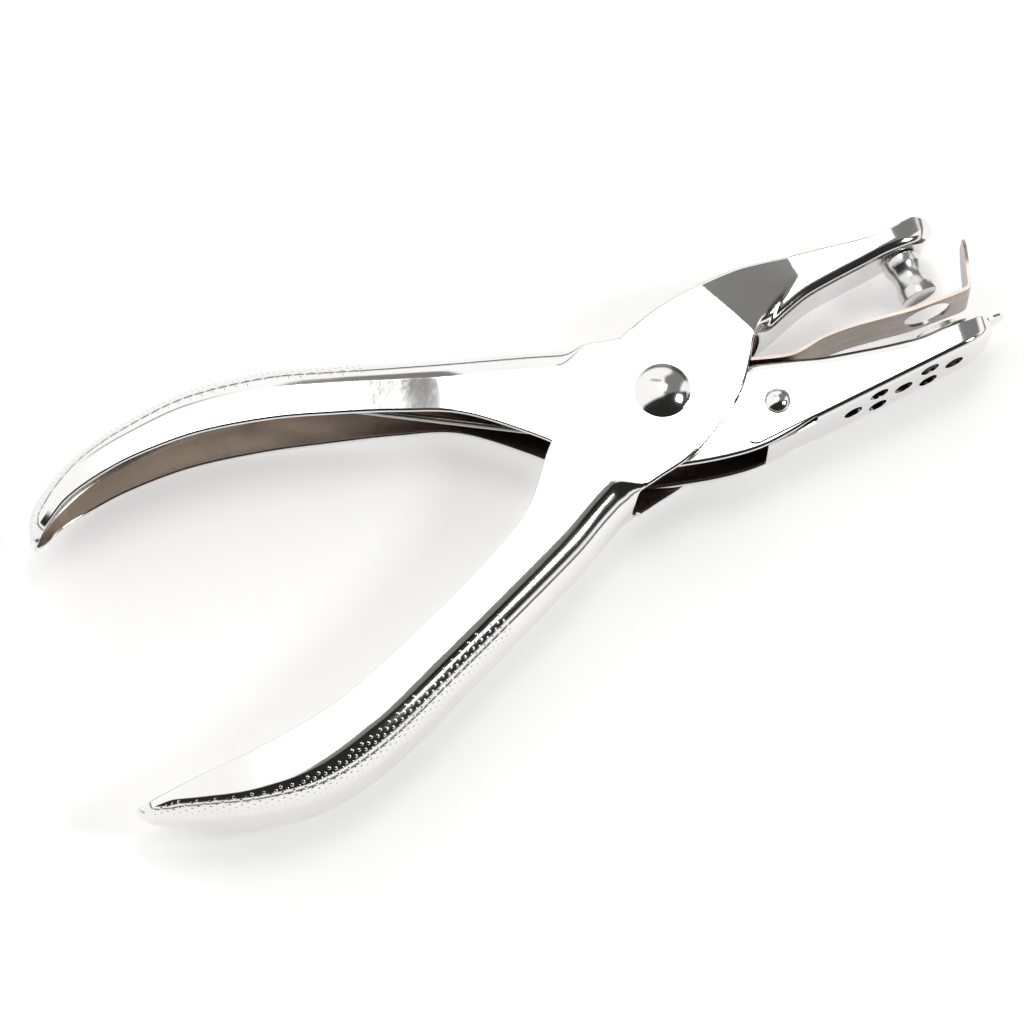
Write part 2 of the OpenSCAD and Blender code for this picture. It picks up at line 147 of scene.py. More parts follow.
def principled(name, colour, rough, metallic=1.0, bump=0.02, scale=900.0, smudge=0.06,
               tone=0.0, grain=(1, 1, 1), shade=None):
    """Metal with smudged roughness, faint tone changes and a fine ground surface; shade is
    a painted shade colour that it turns to from the grips towards the pivot."""
    material = bpy.data.materials.new(name)
    material.use_nodes = True
    tree = material.node_tree
    shader = tree.nodes["Principled BSDF"]
    shader.inputs["Metallic"].default_value = metallic
    coords = tree.nodes.new("ShaderNodeTexCoord")
    stretch = tree.nodes.new("ShaderNodeMapping")
    stretch.inputs["Scale"].default_value = grain
    tree.links.new(coords.outputs["Object"], stretch.inputs["Vector"])

    def noise(size, detail):
        node = tree.nodes.new("ShaderNodeTexNoise")
        node.inputs["Scale"].default_value = size
        node.inputs["Detail"].default_value = detail
        tree.links.new(stretch.outputs["Vector"], node.inputs["Vector"])
        return node

    def ramp(source, low, high):
        node = tree.nodes.new("ShaderNodeMapRange")
        node.inputs["From Min"].default_value = 0.3
        node.inputs["From Max"].default_value = 0.7
        node.inputs["To Min"].default_value = low
        node.inputs["To Max"].default_value = high
        tree.links.new(source.outputs["Fac"], node.inputs["Value"])
        return node

    patches, fine = noise(PATCH_SCALE, 4.0), noise(scale, 3.0)
    tree.links.new(ramp(patches, rough, rough + smudge).outputs["Result"],
                   shader.inputs["Roughness"])
    blend = tree.nodes.new("ShaderNodeMix")
    blend.data_type = "RGBA"
    blend.inputs["A"].default_value = (*colour, 1)
    blend.inputs["B"].default_value = (*(c * (1 - tone) for c in colour), 1)
    tree.links.new(ramp(patches, 0.0, 1.0).outputs["Result"], blend.inputs["Factor"])
    tree.links.new(blend.outputs["Result"], shader.inputs["Base Color"])
    # Painted shade: the colour darkens along X from the grips towards the pivot
    if shade:
        place = tree.nodes.new("ShaderNodeSeparateXYZ")
        tree.links.new(coords.outputs["Object"], place.inputs["Vector"])
        along = tree.nodes.new("ShaderNodeMapRange")
        for key, value in (("From Min", SHADE_FROM), ("From Max", SHADE_TO), ("To Min", 0.0),
                           ("To Max", 1.0)):
            along.inputs[key].default_value = value
        tree.links.new(place.outputs["X"], along.inputs["Value"])
        painted_shade_mix = tree.nodes.new("ShaderNodeMix")
        painted_shade_mix.data_type = "RGBA"
        painted_shade_mix.inputs["B"].default_value = (*shade, 1)
        tree.links.new(along.outputs["Result"], painted_shade_mix.inputs["Factor"])
        tree.links.new(blend.outputs["Result"], painted_shade_mix.inputs["A"])
        tree.links.new(painted_shade_mix.outputs["Result"], shader.inputs["Base Color"])
    dents = tree.nodes.new("ShaderNodeBump")
    dents.inputs["Strength"].default_value = bump
    dents.inputs["Distance"].default_value = GROUND_DEPTH
    tree.links.new(fine.outputs["Fac"], dents.inputs["Height"])
    tree.links.new(dents.outputs["Normal"], shader.inputs["Normal"])
    return material


plated = principled("plated_steel_finish", (0.88, 0.875, 0.86), 0.07, bump=0.03, tone=0.05)
# Inner skin of the channels: the plated steel painted darker and browner as painted shade
painted_shade_inside = principled("plated_inside_painted_shade", (0.74, 0.67, 0.61), 0.24, bump=0.12, tone=0.2,
                    shade=(0.20, 0.145, 0.115))
riveted = principled("rivet_finish", (0.86, 0.855, 0.84), 0.10, bump=0.05, tone=0.06)
strip_steel = principled("strip_finish", (0.36, 0.305, 0.265), 0.24, bump=0.1, tone=0.18,
                         grain=(1, 1, 6))
wire_steel = principled("wire_finish", (0.58, 0.56, 0.53), 0.2, bump=0.1, tone=0.15)
turned = principled("turned_finish", (0.78, 0.77, 0.75), 0.2, bump=0.08, tone=0.1,
                    grain=(1, 8, 1))
dark_steel = principled("spacer_finish", (0.45, 0.44, 0.42), 0.3, bump=0.15, tone=0.2)


# ---------------------------------------------------------------- mesh helpers

def make(name, points, faces, materials, inner=None, angle=35.0):
    """Object from points in millimetres; faces flagged in inner take the second material."""
    mesh = bpy.data.meshes.new(name)
    placed = (np.asarray(points, float) + [0, 0, MID_Z]) * MM
    mesh.from_pydata(placed.tolist(), [], [tuple(map(int, f)) for f in faces])
    for material in materials:
        mesh.materials.append(material)
    if inner is not None:
        mesh.polygons.foreach_set("material_index", np.asarray(inner, np.int32))
    bm = bmesh.new()
    bm.from_mesh(mesh)
    bmesh.ops.remove_doubles(bm, verts=bm.verts, dist=1.5e-6)
    bmesh.ops.dissolve_degenerate(bm, edges=bm.edges, dist=1e-6)
    bmesh.ops.recalc_face_normals(bm, faces=bm.faces)
    for face in bm.faces:
        face.smooth = True
    bm.to_mesh(mesh)
    bm.free()
    mesh.set_sharp_from_angle(angle=math.radians(angle))
    obj = bpy.data.objects.new(name, mesh)
    bpy.context.scene.collection.objects.link(obj)
    return obj


def finish_piece(obj, body, node):
    """Parents a piece to the body that it moves with and hides the CAD node that it stands for.
    """
    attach(obj, body)
    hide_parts(node)


def cut(obj, cutters, operation="DIFFERENCE"):
    """Booleans applied to the mesh of an object; the cutters are removed."""
    for cutter in cutters:
        modifier = obj.modifiers.new("cut", "BOOLEAN")
        modifier.object, modifier.operation, modifier.solver = cutter, operation, "EXACT"
    mesh = bpy.data.meshes.new_from_object(obj.evaluated_get(
        bpy.context.evaluated_depsgraph_get()))
    obj.modifiers.clear()
    obj.data = mesh
    for cutter in cutters:
        bpy.data.objects.remove(cutter)
    mesh.shade_smooth()
    mesh.set_sharp_from_angle(angle=math.radians(35))
    return obj


def rod(name, centre, axis, radius, length, segments=64):
    """Plain cylinder along y or z, used as a cutter."""
    bm = bmesh.new()
    bmesh.ops.create_cone(bm, cap_ends=True, segments=segments, radius1=radius * MM,
                          radius2=radius * MM, depth=length * MM)
    if axis == "y":
        bmesh.ops.rotate(bm, verts=bm.verts, matrix=Matrix.Rotation(math.pi / 2, 3, "X"))
    bmesh.ops.translate(bm, verts=bm.verts,
                        vec=Vector((centre[0], centre[1], centre[2] + MID_Z)) * MM)
    mesh = bpy.data.meshes.new(name)
    bm.to_mesh(mesh)
    bm.free()
    obj = bpy.data.objects.new(name, mesh)
    bpy.context.scene.collection.objects.link(obj)
    return obj


def block(name, low, high):
    """Plain box between two corners, used as a cutter."""
    points = [(x, y, z) for x in (low[0], high[0]) for y in (low[1], high[1])
              for z in (low[2], high[2])]
    faces = [(0, 1, 3, 2), (4, 6, 7, 5), (0, 4, 5, 1), (2, 3, 7, 6), (0, 2, 6, 4), (1, 5, 7, 3)]
    return make(name, points, faces, [plated])


def turn(name, profile, material, centre=(0, 0, 0), axis="z", segments=96, angle=30.0):
    """Closed solid turned from a profile of (radius, height) about z or y."""
    n = len(profile)
    points, faces = [], []
    for k in range(segments):
        a = 2 * math.pi * k / segments
        for r, h in profile:
            across, along = r * math.cos(a), r * math.sin(a)
            p = (across, along, h) if axis == "z" else (across, h, -along)
            points.append([p[i] + centre[i] for i in range(3)])
    for k in range(segments):
        for j in range(n):
            a, b = k * n + j, k * n + (j + 1) % n
            c, d = (k + 1) % segments * n + (j + 1) % n, (k + 1) % segments * n + j
            if profile[j][0] > 1e-6 or profile[(j + 1) % n][0] > 1e-6:
                faces.append((a, b, c, d))
    return make(name, points, faces, [material], angle=angle)


# ---------------------------------------------------------------- pressed channels

# One cross-section: its free edge, the way to its back, its sizes, and the half width of the
# opening in its web
Place = namedtuple("Place", "edge way depth half ry rz slit")
# Smallest corner radius, outside at the ends of an opening and on the inner skin
SHARP, THINNEST = 0.3, 0.15


class Channel:
    """Skin of one pressed sheet, for any place u along it and s around it."""

    def __init__(self, ribs, rounding, sheet, opening=None, ends=(3.2, 1.8), joggle=None):
        self.edges = [np.array(r[0], float) for r in ribs]
        self.backs = [np.array(r[1], float) for r in ribs]
        self.halves = [r[2] for r in ribs]
        self.last = len(ribs) - 1
        self.rounding, self.sheet, self.opening = rounding, sheet, opening
        self.ends, self.joggle = ends, joggle

    def frame_at(self, u):
        edge, back = through(self.edges, u), through(self.backs, u)
        half = min(GRIP_H, through(self.halves, u))
        depth = float(np.linalg.norm(back - edge))
        way = (back - edge) / depth
        slit, run = 0.0, 0.0
        if self.opening:
            low, high = self.opening
            near, reach = ((back[0] - low, self.ends[0]) if back[0] - low < high - back[0]
                           else (high - back[0], self.ends[1]))
            if near > 0:
                slit = half * math.sqrt(1 - (1 - clamp01(near / reach)) ** 2)
            run = ease((near + 1.2) / (reach + 1.6))
        r = self.rounding(back[0])
        ry = mix(min(r[0], 0.75 * depth), SHARP, run)
        rz = mix(min(r[1], 0.75 * half), SHARP, run)
        return Place(edge, way, depth, half, ry, rz, slit)

    def point(self, u, s, at=None):
        """Outer and inner point at the share s of the half section: 0 at the free edge,
        1 at the corner's start, 2 at its end, 3 at the middle or the slit."""
        edge, way, depth, half, ry, rz, slit = at or self.frame_at(u)
        t = min(self.sheet, 0.6 * half, 0.5 * depth)
        iy, iz = max(ry - t, THINNEST), max(rz - t, THINNEST)
        opened = slit / half
        wall, inner_wall = depth - ry, mix(depth - t - iy, depth - ry, opened)
        web = half - rz
        stop = math.pi / 2
        if slit > web:
            stop = math.acos(clamp01((slit - web) / rz))
        if slit >= web:
            s = min(s, 2)
        if s <= 1:
            outer, inner = (s * wall, half), (s * inner_wall, half - t)
        elif s <= 2:
            a = (s - 1) * stop
            outer = (wall + ry * math.sin(a), web + rz * math.cos(a))
            rise = iy if iy > THINNEST else mix(iy, ry, opened)
            inner = (inner_wall + rise * math.sin(a), half - t - iz + iz * math.cos(a))
        else:
            z = mix(web, slit, s - 2)
            outer, inner = (depth, z), (depth - t, min(z, half - t - iz))
        made = []
        for d, z in (outer, inner):
            flat = edge + way * d
            made.append([flat[0], flat[1], z])
        if self.joggle:
            gap = made[0][2] - made[1][2]
            made[0][2] *= self.joggle(made[0][0], made[0][1])
            made[1][2] = max(0.0, made[0][2] - gap)
        return made

    def stations(self, step):
        """Places along the channel, closer together at both ends of the opening."""
        us = list(np.arange(0, self.last + 1e-9, step))
        if self.opening:
            grid = np.arange(0, self.last, 0.01)
            xs = [through(self.backs, u)[0] for u in grid]
            for end, way in zip(self.opening, (1, -1)):
                us += [float(np.interp(end + way * 1.6 * (k / 9) ** 2, xs, grid))
                       for k in range(10)]
        us.sort()
        kept = [us[0]]
        for u in us[1:]:
            if u - kept[-1] > 2e-3:
                kept.append(u)
        return kept


# Shares of the half section; they crowd where the flat plate meets its rounded corner
COLUMNS = [0, 0.02, 0.06] + [k / 16 for k in range(2, 15)] + [0.94, 0.975, 0.993] + \
    [1 + k / 12 for k in range(12)] + [2, 2.01, 2.04] + [2 + k / 6 for k in range(1, 7)]
CAP_ROWS = 5
# Bulge of the inner end of a channel against the outer one, and of the sheet's rounded rim
INNER_BULGE, RIM_BULGE = 0.3, 0.3


def cap(first, second, bulge):
    """Rows that round one end of a channel off to a point."""
    tip = np.array([(first[0, 0] + first[-1, 0]) / 2, (first[0, 1] + first[-1, 1]) / 2, 0.0])
    before = np.array([(second[0, 0] + second[-1, 0]) / 2,
                       (second[0, 1] + second[-1, 1]) / 2, 0.0])
    way = (tip - before) / np.linalg.norm(tip - before)
    reach = bulge * float(np.max(first[:, 2]))
    return [tip + way * reach * math.sin(a) + (first - tip) * math.cos(a)
            for a in (math.pi / 2 * k / CAP_ROWS for k in range(1, CAP_ROWS + 1))]


def channel_mesh(channel, step=0.1, closed=(0.6, 0.2)):
    """Points, faces and inner flags of a whole channel with rounded sheet edges."""
    us = channel.stations(step)
    frames = [channel.frame_at(u) for u in us]
    rows = [np.array([channel.point(u, s, at) for s in COLUMNS]) for u, at in zip(us, frames)]
    outer = [row[:, 0] for row in rows]
    inner = [row[:, 1] for row in rows]
    slits = [at.slit > 1e-6 for at in frames]
    if closed[0]:
        outer = cap(outer[0], outer[3], closed[0])[::-1] + outer
        inner = cap(inner[0], inner[3], INNER_BULGE * closed[0])[::-1] + inner
        slits = [False] * CAP_ROWS + slits
    if closed[1]:
        outer += cap(outer[-1], outer[-4], closed[1])
        inner += cap(inner[-1], inner[-4], INNER_BULGE * closed[1])
        slits += [False] * CAP_ROWS
    n, m = len(outer), len(COLUMNS)
    points = [p for row in outer for p in row] + [p for row in inner for p in row]
    faces, flags = [], []
    for i in range(n - 1):
        for j in range(m - 1):
            a, b = i * m + j, (i + 1) * m + j
            faces += [(a, b, b + 1, a + 1), (a + n * m, a + n * m + 1, b + n * m + 1, b + n * m)]
            flags += [0, 1]

    def rim(lines, bulge_ways):
        """Half-round strip between an outer and an inner line of the sheet."""
        at = []
        for (o, i), way in zip(lines, bulge_ways):
            across = i - o
            row = [o]
            for k in (1, 2, 3):
                a = math.pi * k / 4
                row.append(o + across * (1 - math.cos(a)) / 2
                           + way * RIM_BULGE * min(1.0, np.linalg.norm(across)) * math.sin(a))
            row.append(i)
            at.append(len(points))
            points.extend(row)
        for p, q in zip(at, at[1:]):
            for k in range(4):
                faces.append((p + k, q + k, q + k + 1, p + k + 1))
                flags.append(0)

    def unit(v):
        return v / max(np.linalg.norm(v), 1e-9)

    rim([(outer[i][0], inner[i][0]) for i in range(n)],
        [unit(outer[i][0] - outer[i][3]) for i in range(n)])
    open_rows = [i for i in range(n) if slits[i]]
    if open_rows:
        first, last = open_rows[0] - 1, open_rows[-1] + 1
        run = list(range(first, last + 1))
        ways = []
        for i in run:
            along = outer[min(i + 1, last)][-1] - outer[max(i - 1, first)][-1]
            across = inner[i][-1] - outer[i][-1]
            way = unit(np.cross(along, across))
            towards = outer[i][-1] - outer[i][0]
            if i in (first, last):
                middle = outer[(first + last) // 2][-1] - outer[i][-1]
                way = unit(middle * [1, 1, 0])
            elif np.dot(way, towards * [1, 1, 0] + [0, 0, -1]) < 0:
                way = -way
            ways.append(way)
        rim([(outer[i][-1], inner[i][-1]) for i in run], ways)
    for end, row in ((closed[0], 0), (closed[1], n - 1)):
        if not end:
            for j in range(m - 1):
                a, b = row * m + j, row * m + j + 1
                faces.append((a, b, b + n * m, a + n * m))
                flags.append(0)
    count = len(points)
    points = points + [np.array([p[0], p[1], -p[2]]) for p in points]
    faces = faces + [tuple(v + count for v in reversed(f)) for f in faces]
    return points, faces, flags + flags


def dot_mesh(channel, x_stop, pitch=1.1, radius=0.29, height=0.055):
    """Points and faces of small domes in a hexagonal pattern on the back of a grip."""
    points, faces = [], []
    grid = np.linspace(0.35, channel.last, 1600)
    backs = np.array([through(channel.backs, u) for u in grid])
    run = np.concatenate([[0], np.cumsum(np.linalg.norm(np.diff(backs, axis=0), axis=1))])
    limit = float(np.interp(x_stop, backs[:, 0], run))
    row = 0
    travelled = 1.2
    while travelled < limit:
        u = float(np.interp(travelled, run, grid))
        at = channel.frame_at(u)
        arc = math.pi / 2 * (at.ry + at.rz) / 2
        web = at.half - at.rz
        z = 0.0 if row % 2 == 0 else pitch / 2
        while z < web + arc * 0.78:
            s = 3 - z / max(web, 1e-6) if z < web else 2 - (z - web) / arc
            p = np.array(channel.point(u, s, at)[0])
            across = np.array(channel.point(u, s - 0.02, at)[0]) - p
            ahead = np.array(channel.point(u + 0.02, s)[0]) - p
            normal = np.cross(across, ahead)
            normal /= np.linalg.norm(normal)
            inward = np.array(channel.point(u, s, at)[1]) - p
            if np.dot(normal, inward) > 0:
                normal = -normal
            side = across / np.linalg.norm(across)
            other = np.cross(normal, side)
            for sign in ((1, -1) if z > 1e-6 else (1,)):
                flip = np.array([1, 1, sign])
                start = len(points)
                for ring, lift in ((1.0, -0.2), (0.78, 0.55), (0.4, 0.9)):
                    for k in range(8):
                        a = math.pi * k / 4
                        points.append((p + (side * math.cos(a) + other * math.sin(a))
                                       * radius * ring + normal * height * lift) * flip)
                points.append((p + normal * height) * flip)
                for ring in range(2):
                    for k in range(8):
                        b = start + 8 * ring
                        faces.append((b + k, b + (k + 1) % 8, b + 8 + (k + 1) % 8, b + 8 + k))
                for k in range(8):
                    faces.append((start + 16 + k, start + 16 + (k + 1) % 8, start + 24))
            z += pitch
        travelled += pitch * 0.866
        row += 1
    return points, faces


# The step-in of the front plates lies between two slanted lines across them: heights of their
# ends, then the place along X and the slope of the first line and of the second, with its limit
STEP_LOW, STEP_TOP = 2.6, 12.2
FIRST_X, FIRST_SLOPE = 13.4, 0.4
SECOND_X, SECOND_SLOPE, SECOND_LIMIT = 20.3, 1.6, 28.2


def narrowing(x, y):
    """Share of the full width left where the front plates step in to the upper jaw."""
    y = max(y, STEP_LOW)
    start = FIRST_X + FIRST_SLOPE * (STEP_TOP - y)
    stop = min(SECOND_X + SECOND_SLOPE * (y - STEP_LOW), SECOND_LIMIT)
    t = clamp01((x - start) / (stop - start))
    return 1 - (1 - NARROW) * (t - math.sin(2 * math.pi * t) / (20 * math.pi))


def front_rounding(x):
    """Depth and width radius of the outer corner; the grip is flatter towards its tip."""
    if x >= -6:
        return JAW_ROUND, JAW_ROUND
    return mix(BACK_ROUND, 2.6, ease((-62 - x) / 32)), BACK_ROUND


def rear_rounding(x):
    if x >= 0:
        return JAW_ROUND, JAW_ROUND
    return mix(4.2, 2.8, ease((-60 - x) / 30)), BACK_ROUND


def add_dots(lever, channel):
    """Joins the dots of a grip to its lever."""
    points, faces = dot_mesh(channel, DOTS_END)
    dots = make("dots", points, faces, [plated])
    merged = bmesh.new()
    merged.from_mesh(lever.data)
    merged.from_mesh(dots.data)
    merged.to_mesh(lever.data)
    merged.free()
    bpy.data.objects.remove(dots)


# Where the levers have no web, along X, and how long the rounded ends of that opening are
FRONT_OPENING, FRONT_ENDS = (-12.2, 18.6), (3.2, 1.6)
REAR_OPENING, REAR_ENDS = (-9.0, 12.5), (3.0, 1.6)
front = Channel(FRONT_RIBS, front_rounding, SHEET, FRONT_OPENING, FRONT_ENDS, narrowing)
rear = Channel(REAR_RIBS, rear_rounding, SHEET, REAR_OPENING, REAR_ENDS)
for name, channel, body in (("front_lever_skin", front, UPPER), ("rear_lever_skin", rear, LOWER)):
    points, faces, flags = channel_mesh(channel)
    # The inner faces take the painted shade material
    lever = make(name, points, faces, [plated, painted_shade_inside], flags)
    if body == LOWER:
        cut(lever, [rod("cut_die", (DIE_X, -10.3, 0), "y", 3.8, 4)])
    add_dots(lever, channel)
    finish_piece(lever, body, name.replace("_skin", ""))


# ---------------------------------------------------------------- turned pieces

def headed(shank, head, start, height):
    """Profile of a rod with a low dome at each end."""
    ball = (head ** 2 + height ** 2) / (2 * height)
    widest = math.asin(head / ball)
    dome = [(ball * math.sin(a), start + height - ball * (1 - math.cos(a)))
            for a in np.linspace(widest, 0, 18)[1:-1]]
    upper = [(shank, start), (head - 0.06, start), (head, start + 0.06)] + dome
    upper += [(0, start + height)]
    return [(0, -start - height)] + [(r, -h) for r, h in reversed(upper[:-1])] + upper


# Gap under a rivet head
SEAT = 0.02
finish_piece(turn("pivot_rivet_turned", headed(2.2, 4.4, FRONT_H + SEAT, 1.63), riveted),
             UPPER, "pivot_rivet")
finish_piece(turn("tray_rivet_turned", headed(1.3, 2.05, TRAY_H + SEAT, 1.0), riveted,
                  centre=TRAY_HINGE),
             LOWER, "tray_rivet")
tube_h = REAR_H - SHEET - 0.1
finish_piece(turn("pivot_spacer_turned",
                  [(2.25, -tube_h), (3.3, -tube_h), (3.4, 0.1 - tube_h), (3.4, tube_h - 0.1),
                   (3.3, tube_h), (2.25, tube_h)], dark_steel),
             UPPER, "pivot_spacer")

TIP_Y = -2.9
waist = [(3.0 - 0.55 * math.sin(math.pi * k / 16), mix(TIP_Y + 1.4, 2.55, k / 16))
         for k in range(17)]
finish_piece(turn("punch_turned",
                  [(0, TIP_Y + 0.9), (2.5, TIP_Y + 0.25), (2.94, TIP_Y), (3.0, TIP_Y + 0.06)]
                  + waist + [(3.0, 3.87), (2.92, 3.95), (1.6, 3.95), (1.6, 5.36), (2.6, 5.36),
                             (2.7, 5.46), (2.5, 6.0), (2.1, 6.3), (1.6, 6.5), (0, 6.6)],
                  turned, centre=(PUNCH_X, 0, 0), axis="y"),
             UPPER, "punch_pin")
finish_piece(turn("die_turned",
                  [(3.5, -11.2), (4.15, -11.2), (4.15, -9.3), (4.09, -9.16), (3.95, -9.1),
                   (3.6, -9.1), (3.5, -9.2)],
                  turned, centre=(DIE_X, 0, 0), axis="y"),
             LOWER, "die_bush")


# ---------------------------------------------------------------- stripper strip

STRIP_LINE = [
    (12.8, -0.15), (16.2, -1.7), (20.6, -3.3), (23.4, -3.4), (26.5, -3.15), (31, -3.55),
    (36, -4.5), (41, -5.5), (45.5, -6.0), (49.6, -6.35), (50.7, -6.0), (51.25, -4.9),
    (54.0, 1.7)]
line_rows = [np.array(p, float) for p in STRIP_LINE]
count = 8 * (len(line_rows) - 1)
line = np.array([through(line_rows, k / 8) for k in range(count + 1)])
ahead = np.gradient(line, axis=0)
side = np.stack([-ahead[:, 1], ahead[:, 0]], 1) / np.linalg.norm(ahead, axis=1)[:, None]
top = 1.7 + STRIP_T
ACROSS = 12
points, faces = [], []
for k in range(count + 1):
    over = max(0.0, line[k, 1] - (top - STRIP_H)) if line[k, 0] > 51 else 0.0
    half = math.sqrt(max(STRIP_H ** 2 - over ** 2, 1.2))
    for sign in (1, -1):
        place = line[k] + side[k] * sign * STRIP_T / 2
        points += [(place[0], place[1], half * (2 * j / ACROSS - 1)) for j in range(ACROSS + 1)]
width = ACROSS + 1
for k in range(count):
    a, b = 2 * k * width, 2 * (k + 1) * width
    for j in range(ACROSS):
        faces += [(a + j, a + j + 1, b + j + 1, b + j),
                  (a + width + j, b + width + j, b + width + j + 1, a + width + j + 1)]
    for j in (0, ACROSS):
        faces.append((a + j, b + j, b + width + j, a + width + j))
for a in (0, 2 * count * width):
    faces += [(a + j, a + j + 1, a + width + j + 1, a + width + j) for j in range(ACROSS)]
strip = make("stripper_blade", points, faces, [strip_steel])
cut(strip, [rod("cut_hole", (STRIP_HOLE_X, -5.5, 0), "y", 3.8, 7)])
finish_piece(strip, STRIP, "stripper_strip")


# ---------------------------------------------------------------- chip tray

# Lowest end and top of every cut up into the tray's floor
FLOOR_CUT = (-16, -13.9)
# Corner of each ear and its radius
EAR, EAR_ROUND = (9.8, -12.3), 1.6
# Tray vents: radius, first one, pitch of the middle row and distance of the outer rows
VENT_R, VENT_FROM, VENT_PITCH, VENT_SIDE = 1.55, 25.9, 8.85, 2.5
VENT_Y = -14.5

tray_channel = Channel(TRAY_RIBS, lambda x: (TRAY_ROUND, TRAY_ROUND), TRAY_T)
points, faces, flags = channel_mesh(tray_channel, closed=(0, 0.2))
# The inner faces take the painted shade material
tray = make("chip_tray_pressed", points, faces, [plated, painted_shade_inside], flags)
tongue = REAR_H - SHEET - 0.2
cutters = [block("cut_relief", (6, FLOOR_CUT[0], tongue), (19.4, FLOOR_CUT[1], TRAY_H + 1)),
           block("cut_relief", (6, FLOOR_CUT[0], -TRAY_H - 1), (19.4, FLOOR_CUT[1], -tongue)),
           block("cut_floor", (0, FLOOR_CUT[0], -tongue - 1), (10.8, FLOOR_CUT[1], tongue + 1))]
for low, high in ((tongue, TRAY_H + 1), (-TRAY_H - 1, -tongue)):
    corner = block("cut_corner", (5, -15.9, low), (*EAR, high))
    round_cut = rod("cut_round", (*EAR, (low + high) / 2), "z", EAR_ROUND, 6)
    cutters.append(cut(corner, [round_cut]))
cutters += [rod("cut_vent", (VENT_FROM + VENT_PITCH * k, VENT_Y, 0), "y", VENT_R, 3)
            for k in range(3)]
cutters += [rod("cut_vent", (30.35 + VENT_PITCH * k, VENT_Y, VENT_SIDE * z), "y", VENT_R, 3)
            for k in range(2) for z in (1, -1)]
cut(tray, cutters)
# Thumb lip: where it leaves the tray, middle of its round end, radius and its two heights
LIP_FROM, LIP_X, LIP_R, LIP_LOW, LIP_HIGH = 51.3, 51.9, 2.2, -11.75, -11.35
arc = [(LIP_X + LIP_R * math.cos(a), LIP_R * math.sin(a))
       for a in np.linspace(-math.pi / 2, math.pi / 2, 24)]
lip_outline = [(LIP_FROM, -LIP_R)] + arc + [(LIP_FROM, LIP_R)]
n = len(lip_outline)
points = [(x, LIP_LOW, z) for x, z in lip_outline] + [(x, LIP_HIGH, z) for x, z in lip_outline]
faces = [tuple(range(n)), tuple(reversed(range(n, 2 * n)))]
faces += [(k, (k + 1) % n, (k + 1) % n + n, k + n) for k in range(n)]
lip = make("cut_lip", points, faces, [plated])
cut(tray, [lip], "UNION")
finish_piece(tray, TRAY, "chip_tray")


# ---------------------------------------------------------------- return spring

WIRE_R, COIL_R, COIL_PITCH, COIL_STEPS = 0.65, 7.0, 1.6, 160
FRONT_LEG, REAR_LEG = (-57.0, -27.2), (-57.0, 30.7)
# Whole turns taken off the angle of the rear leg, so that the wire goes round the rivet
COIL_WRAPS = 3


def leg_angle(end, way):
    """Angle at which a straight leg from its end meets the coil."""
    return math.degrees(math.atan2(end[1], end[0])) + way * math.degrees(
        math.acos(COIL_R / math.hypot(*end)))


start_a = leg_angle(FRONT_LEG, -1)
stop_a = leg_angle(REAR_LEG, 1) - 360 * COIL_WRAPS
coil_h = COIL_PITCH * (start_a - stop_a) / 360
coil = [(COIL_R * math.cos(math.radians(a)), COIL_R * math.sin(math.radians(a)),
         coil_h * (k / COIL_STEPS - 0.5))
        for k, a in enumerate(np.linspace(start_a, stop_a, COIL_STEPS + 1))]
path = np.array([(*FRONT_LEG, -coil_h / 2)] + coil + [(*REAR_LEG, coil_h / 2)])
way = np.gradient(path, axis=0)
points, faces = [], []
RING = 16
for p, d in zip(path, way):
    side = np.array([-d[1], d[0], 0]) / math.hypot(d[0], d[1])
    for k in range(RING):
        a = 2 * math.pi * k / RING
        points.append(p + WIRE_R * (side * math.cos(a) + np.array([0, 0, math.sin(a)])))
for k in range(len(path) - 1):
    for j in range(RING):
        a, b = k * RING + j, k * RING + (j + 1) % RING
        faces.append((a, b, b + RING, a + RING))
faces += [tuple(range(RING)), tuple(reversed(range(len(points) - RING, len(points))))]
spring = make("return_spring_wire", points, faces, [wire_steel])
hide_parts("return_spring")
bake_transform(spring)


# ---------------------------------------------------------------- stage, light, camera

floor_mesh = bpy.data.meshes.new("floor")
FLOOR, FLOOR_GLOW = 3, 0.345
floor_mesh.from_pydata([(-FLOOR, -FLOOR, 0), (FLOOR, -FLOOR, 0), (FLOOR, FLOOR, 0),
                        (-FLOOR, FLOOR, 0)], [], [(0, 1, 2, 3)])
floor_mesh.materials.append(principled("floor_finish", (0.93, 0.93, 0.93), 0.55, metallic=0.0,
                                       bump=0.0, tone=0.01))
floor_shader = floor_mesh.materials[0].node_tree.nodes["Principled BSDF"]
floor_shader.inputs["Emission Color"].default_value = (1, 1, 1, 1)
floor_shader.inputs["Emission Strength"].default_value = FLOOR_GLOW
floor = bpy.data.objects.new("floor", floor_mesh)
bpy.context.scene.collection.objects.link(floor)

world = bpy.data.worlds.new("studio")
bpy.context.scene.world = world
world.use_nodes = True
tree = world.node_tree
coords = tree.nodes.new("ShaderNodeTexCoord")
split = tree.nodes.new("ShaderNodeSeparateXYZ")
tree.links.new(coords.outputs["Generated"], split.inputs["Vector"])


def step_node(source, low, high, to_low, to_high):
    """Smooth step of a value between two limits."""
    node = tree.nodes.new("ShaderNodeMapRange")
    node.interpolation_type = "SMOOTHSTEP"
    for key, value in (("From Min", low), ("From Max", high), ("To Min", to_low),
                       ("To Max", to_high)):
        node.inputs[key].default_value = value
    tree.links.new(source, node.inputs["Value"])
    return node.outputs["Result"]


def times(first, second):
    """Product of two values."""
    node = tree.nodes.new("ShaderNodeMath")
    node.operation = "MULTIPLY"
    tree.links.new(first, node.inputs[0])
    tree.links.new(second, node.inputs[1])
    return node.outputs["Value"]


def along(vector):
    """How far the sky's direction points along a vector."""
    node = tree.nodes.new("ShaderNodeVectorMath")
    node.operation = "DOT_PRODUCT"
    node.inputs[1].default_value = vector
    tree.links.new(coords.outputs["Generated"], node.inputs[0])
    return node.outputs["Value"]


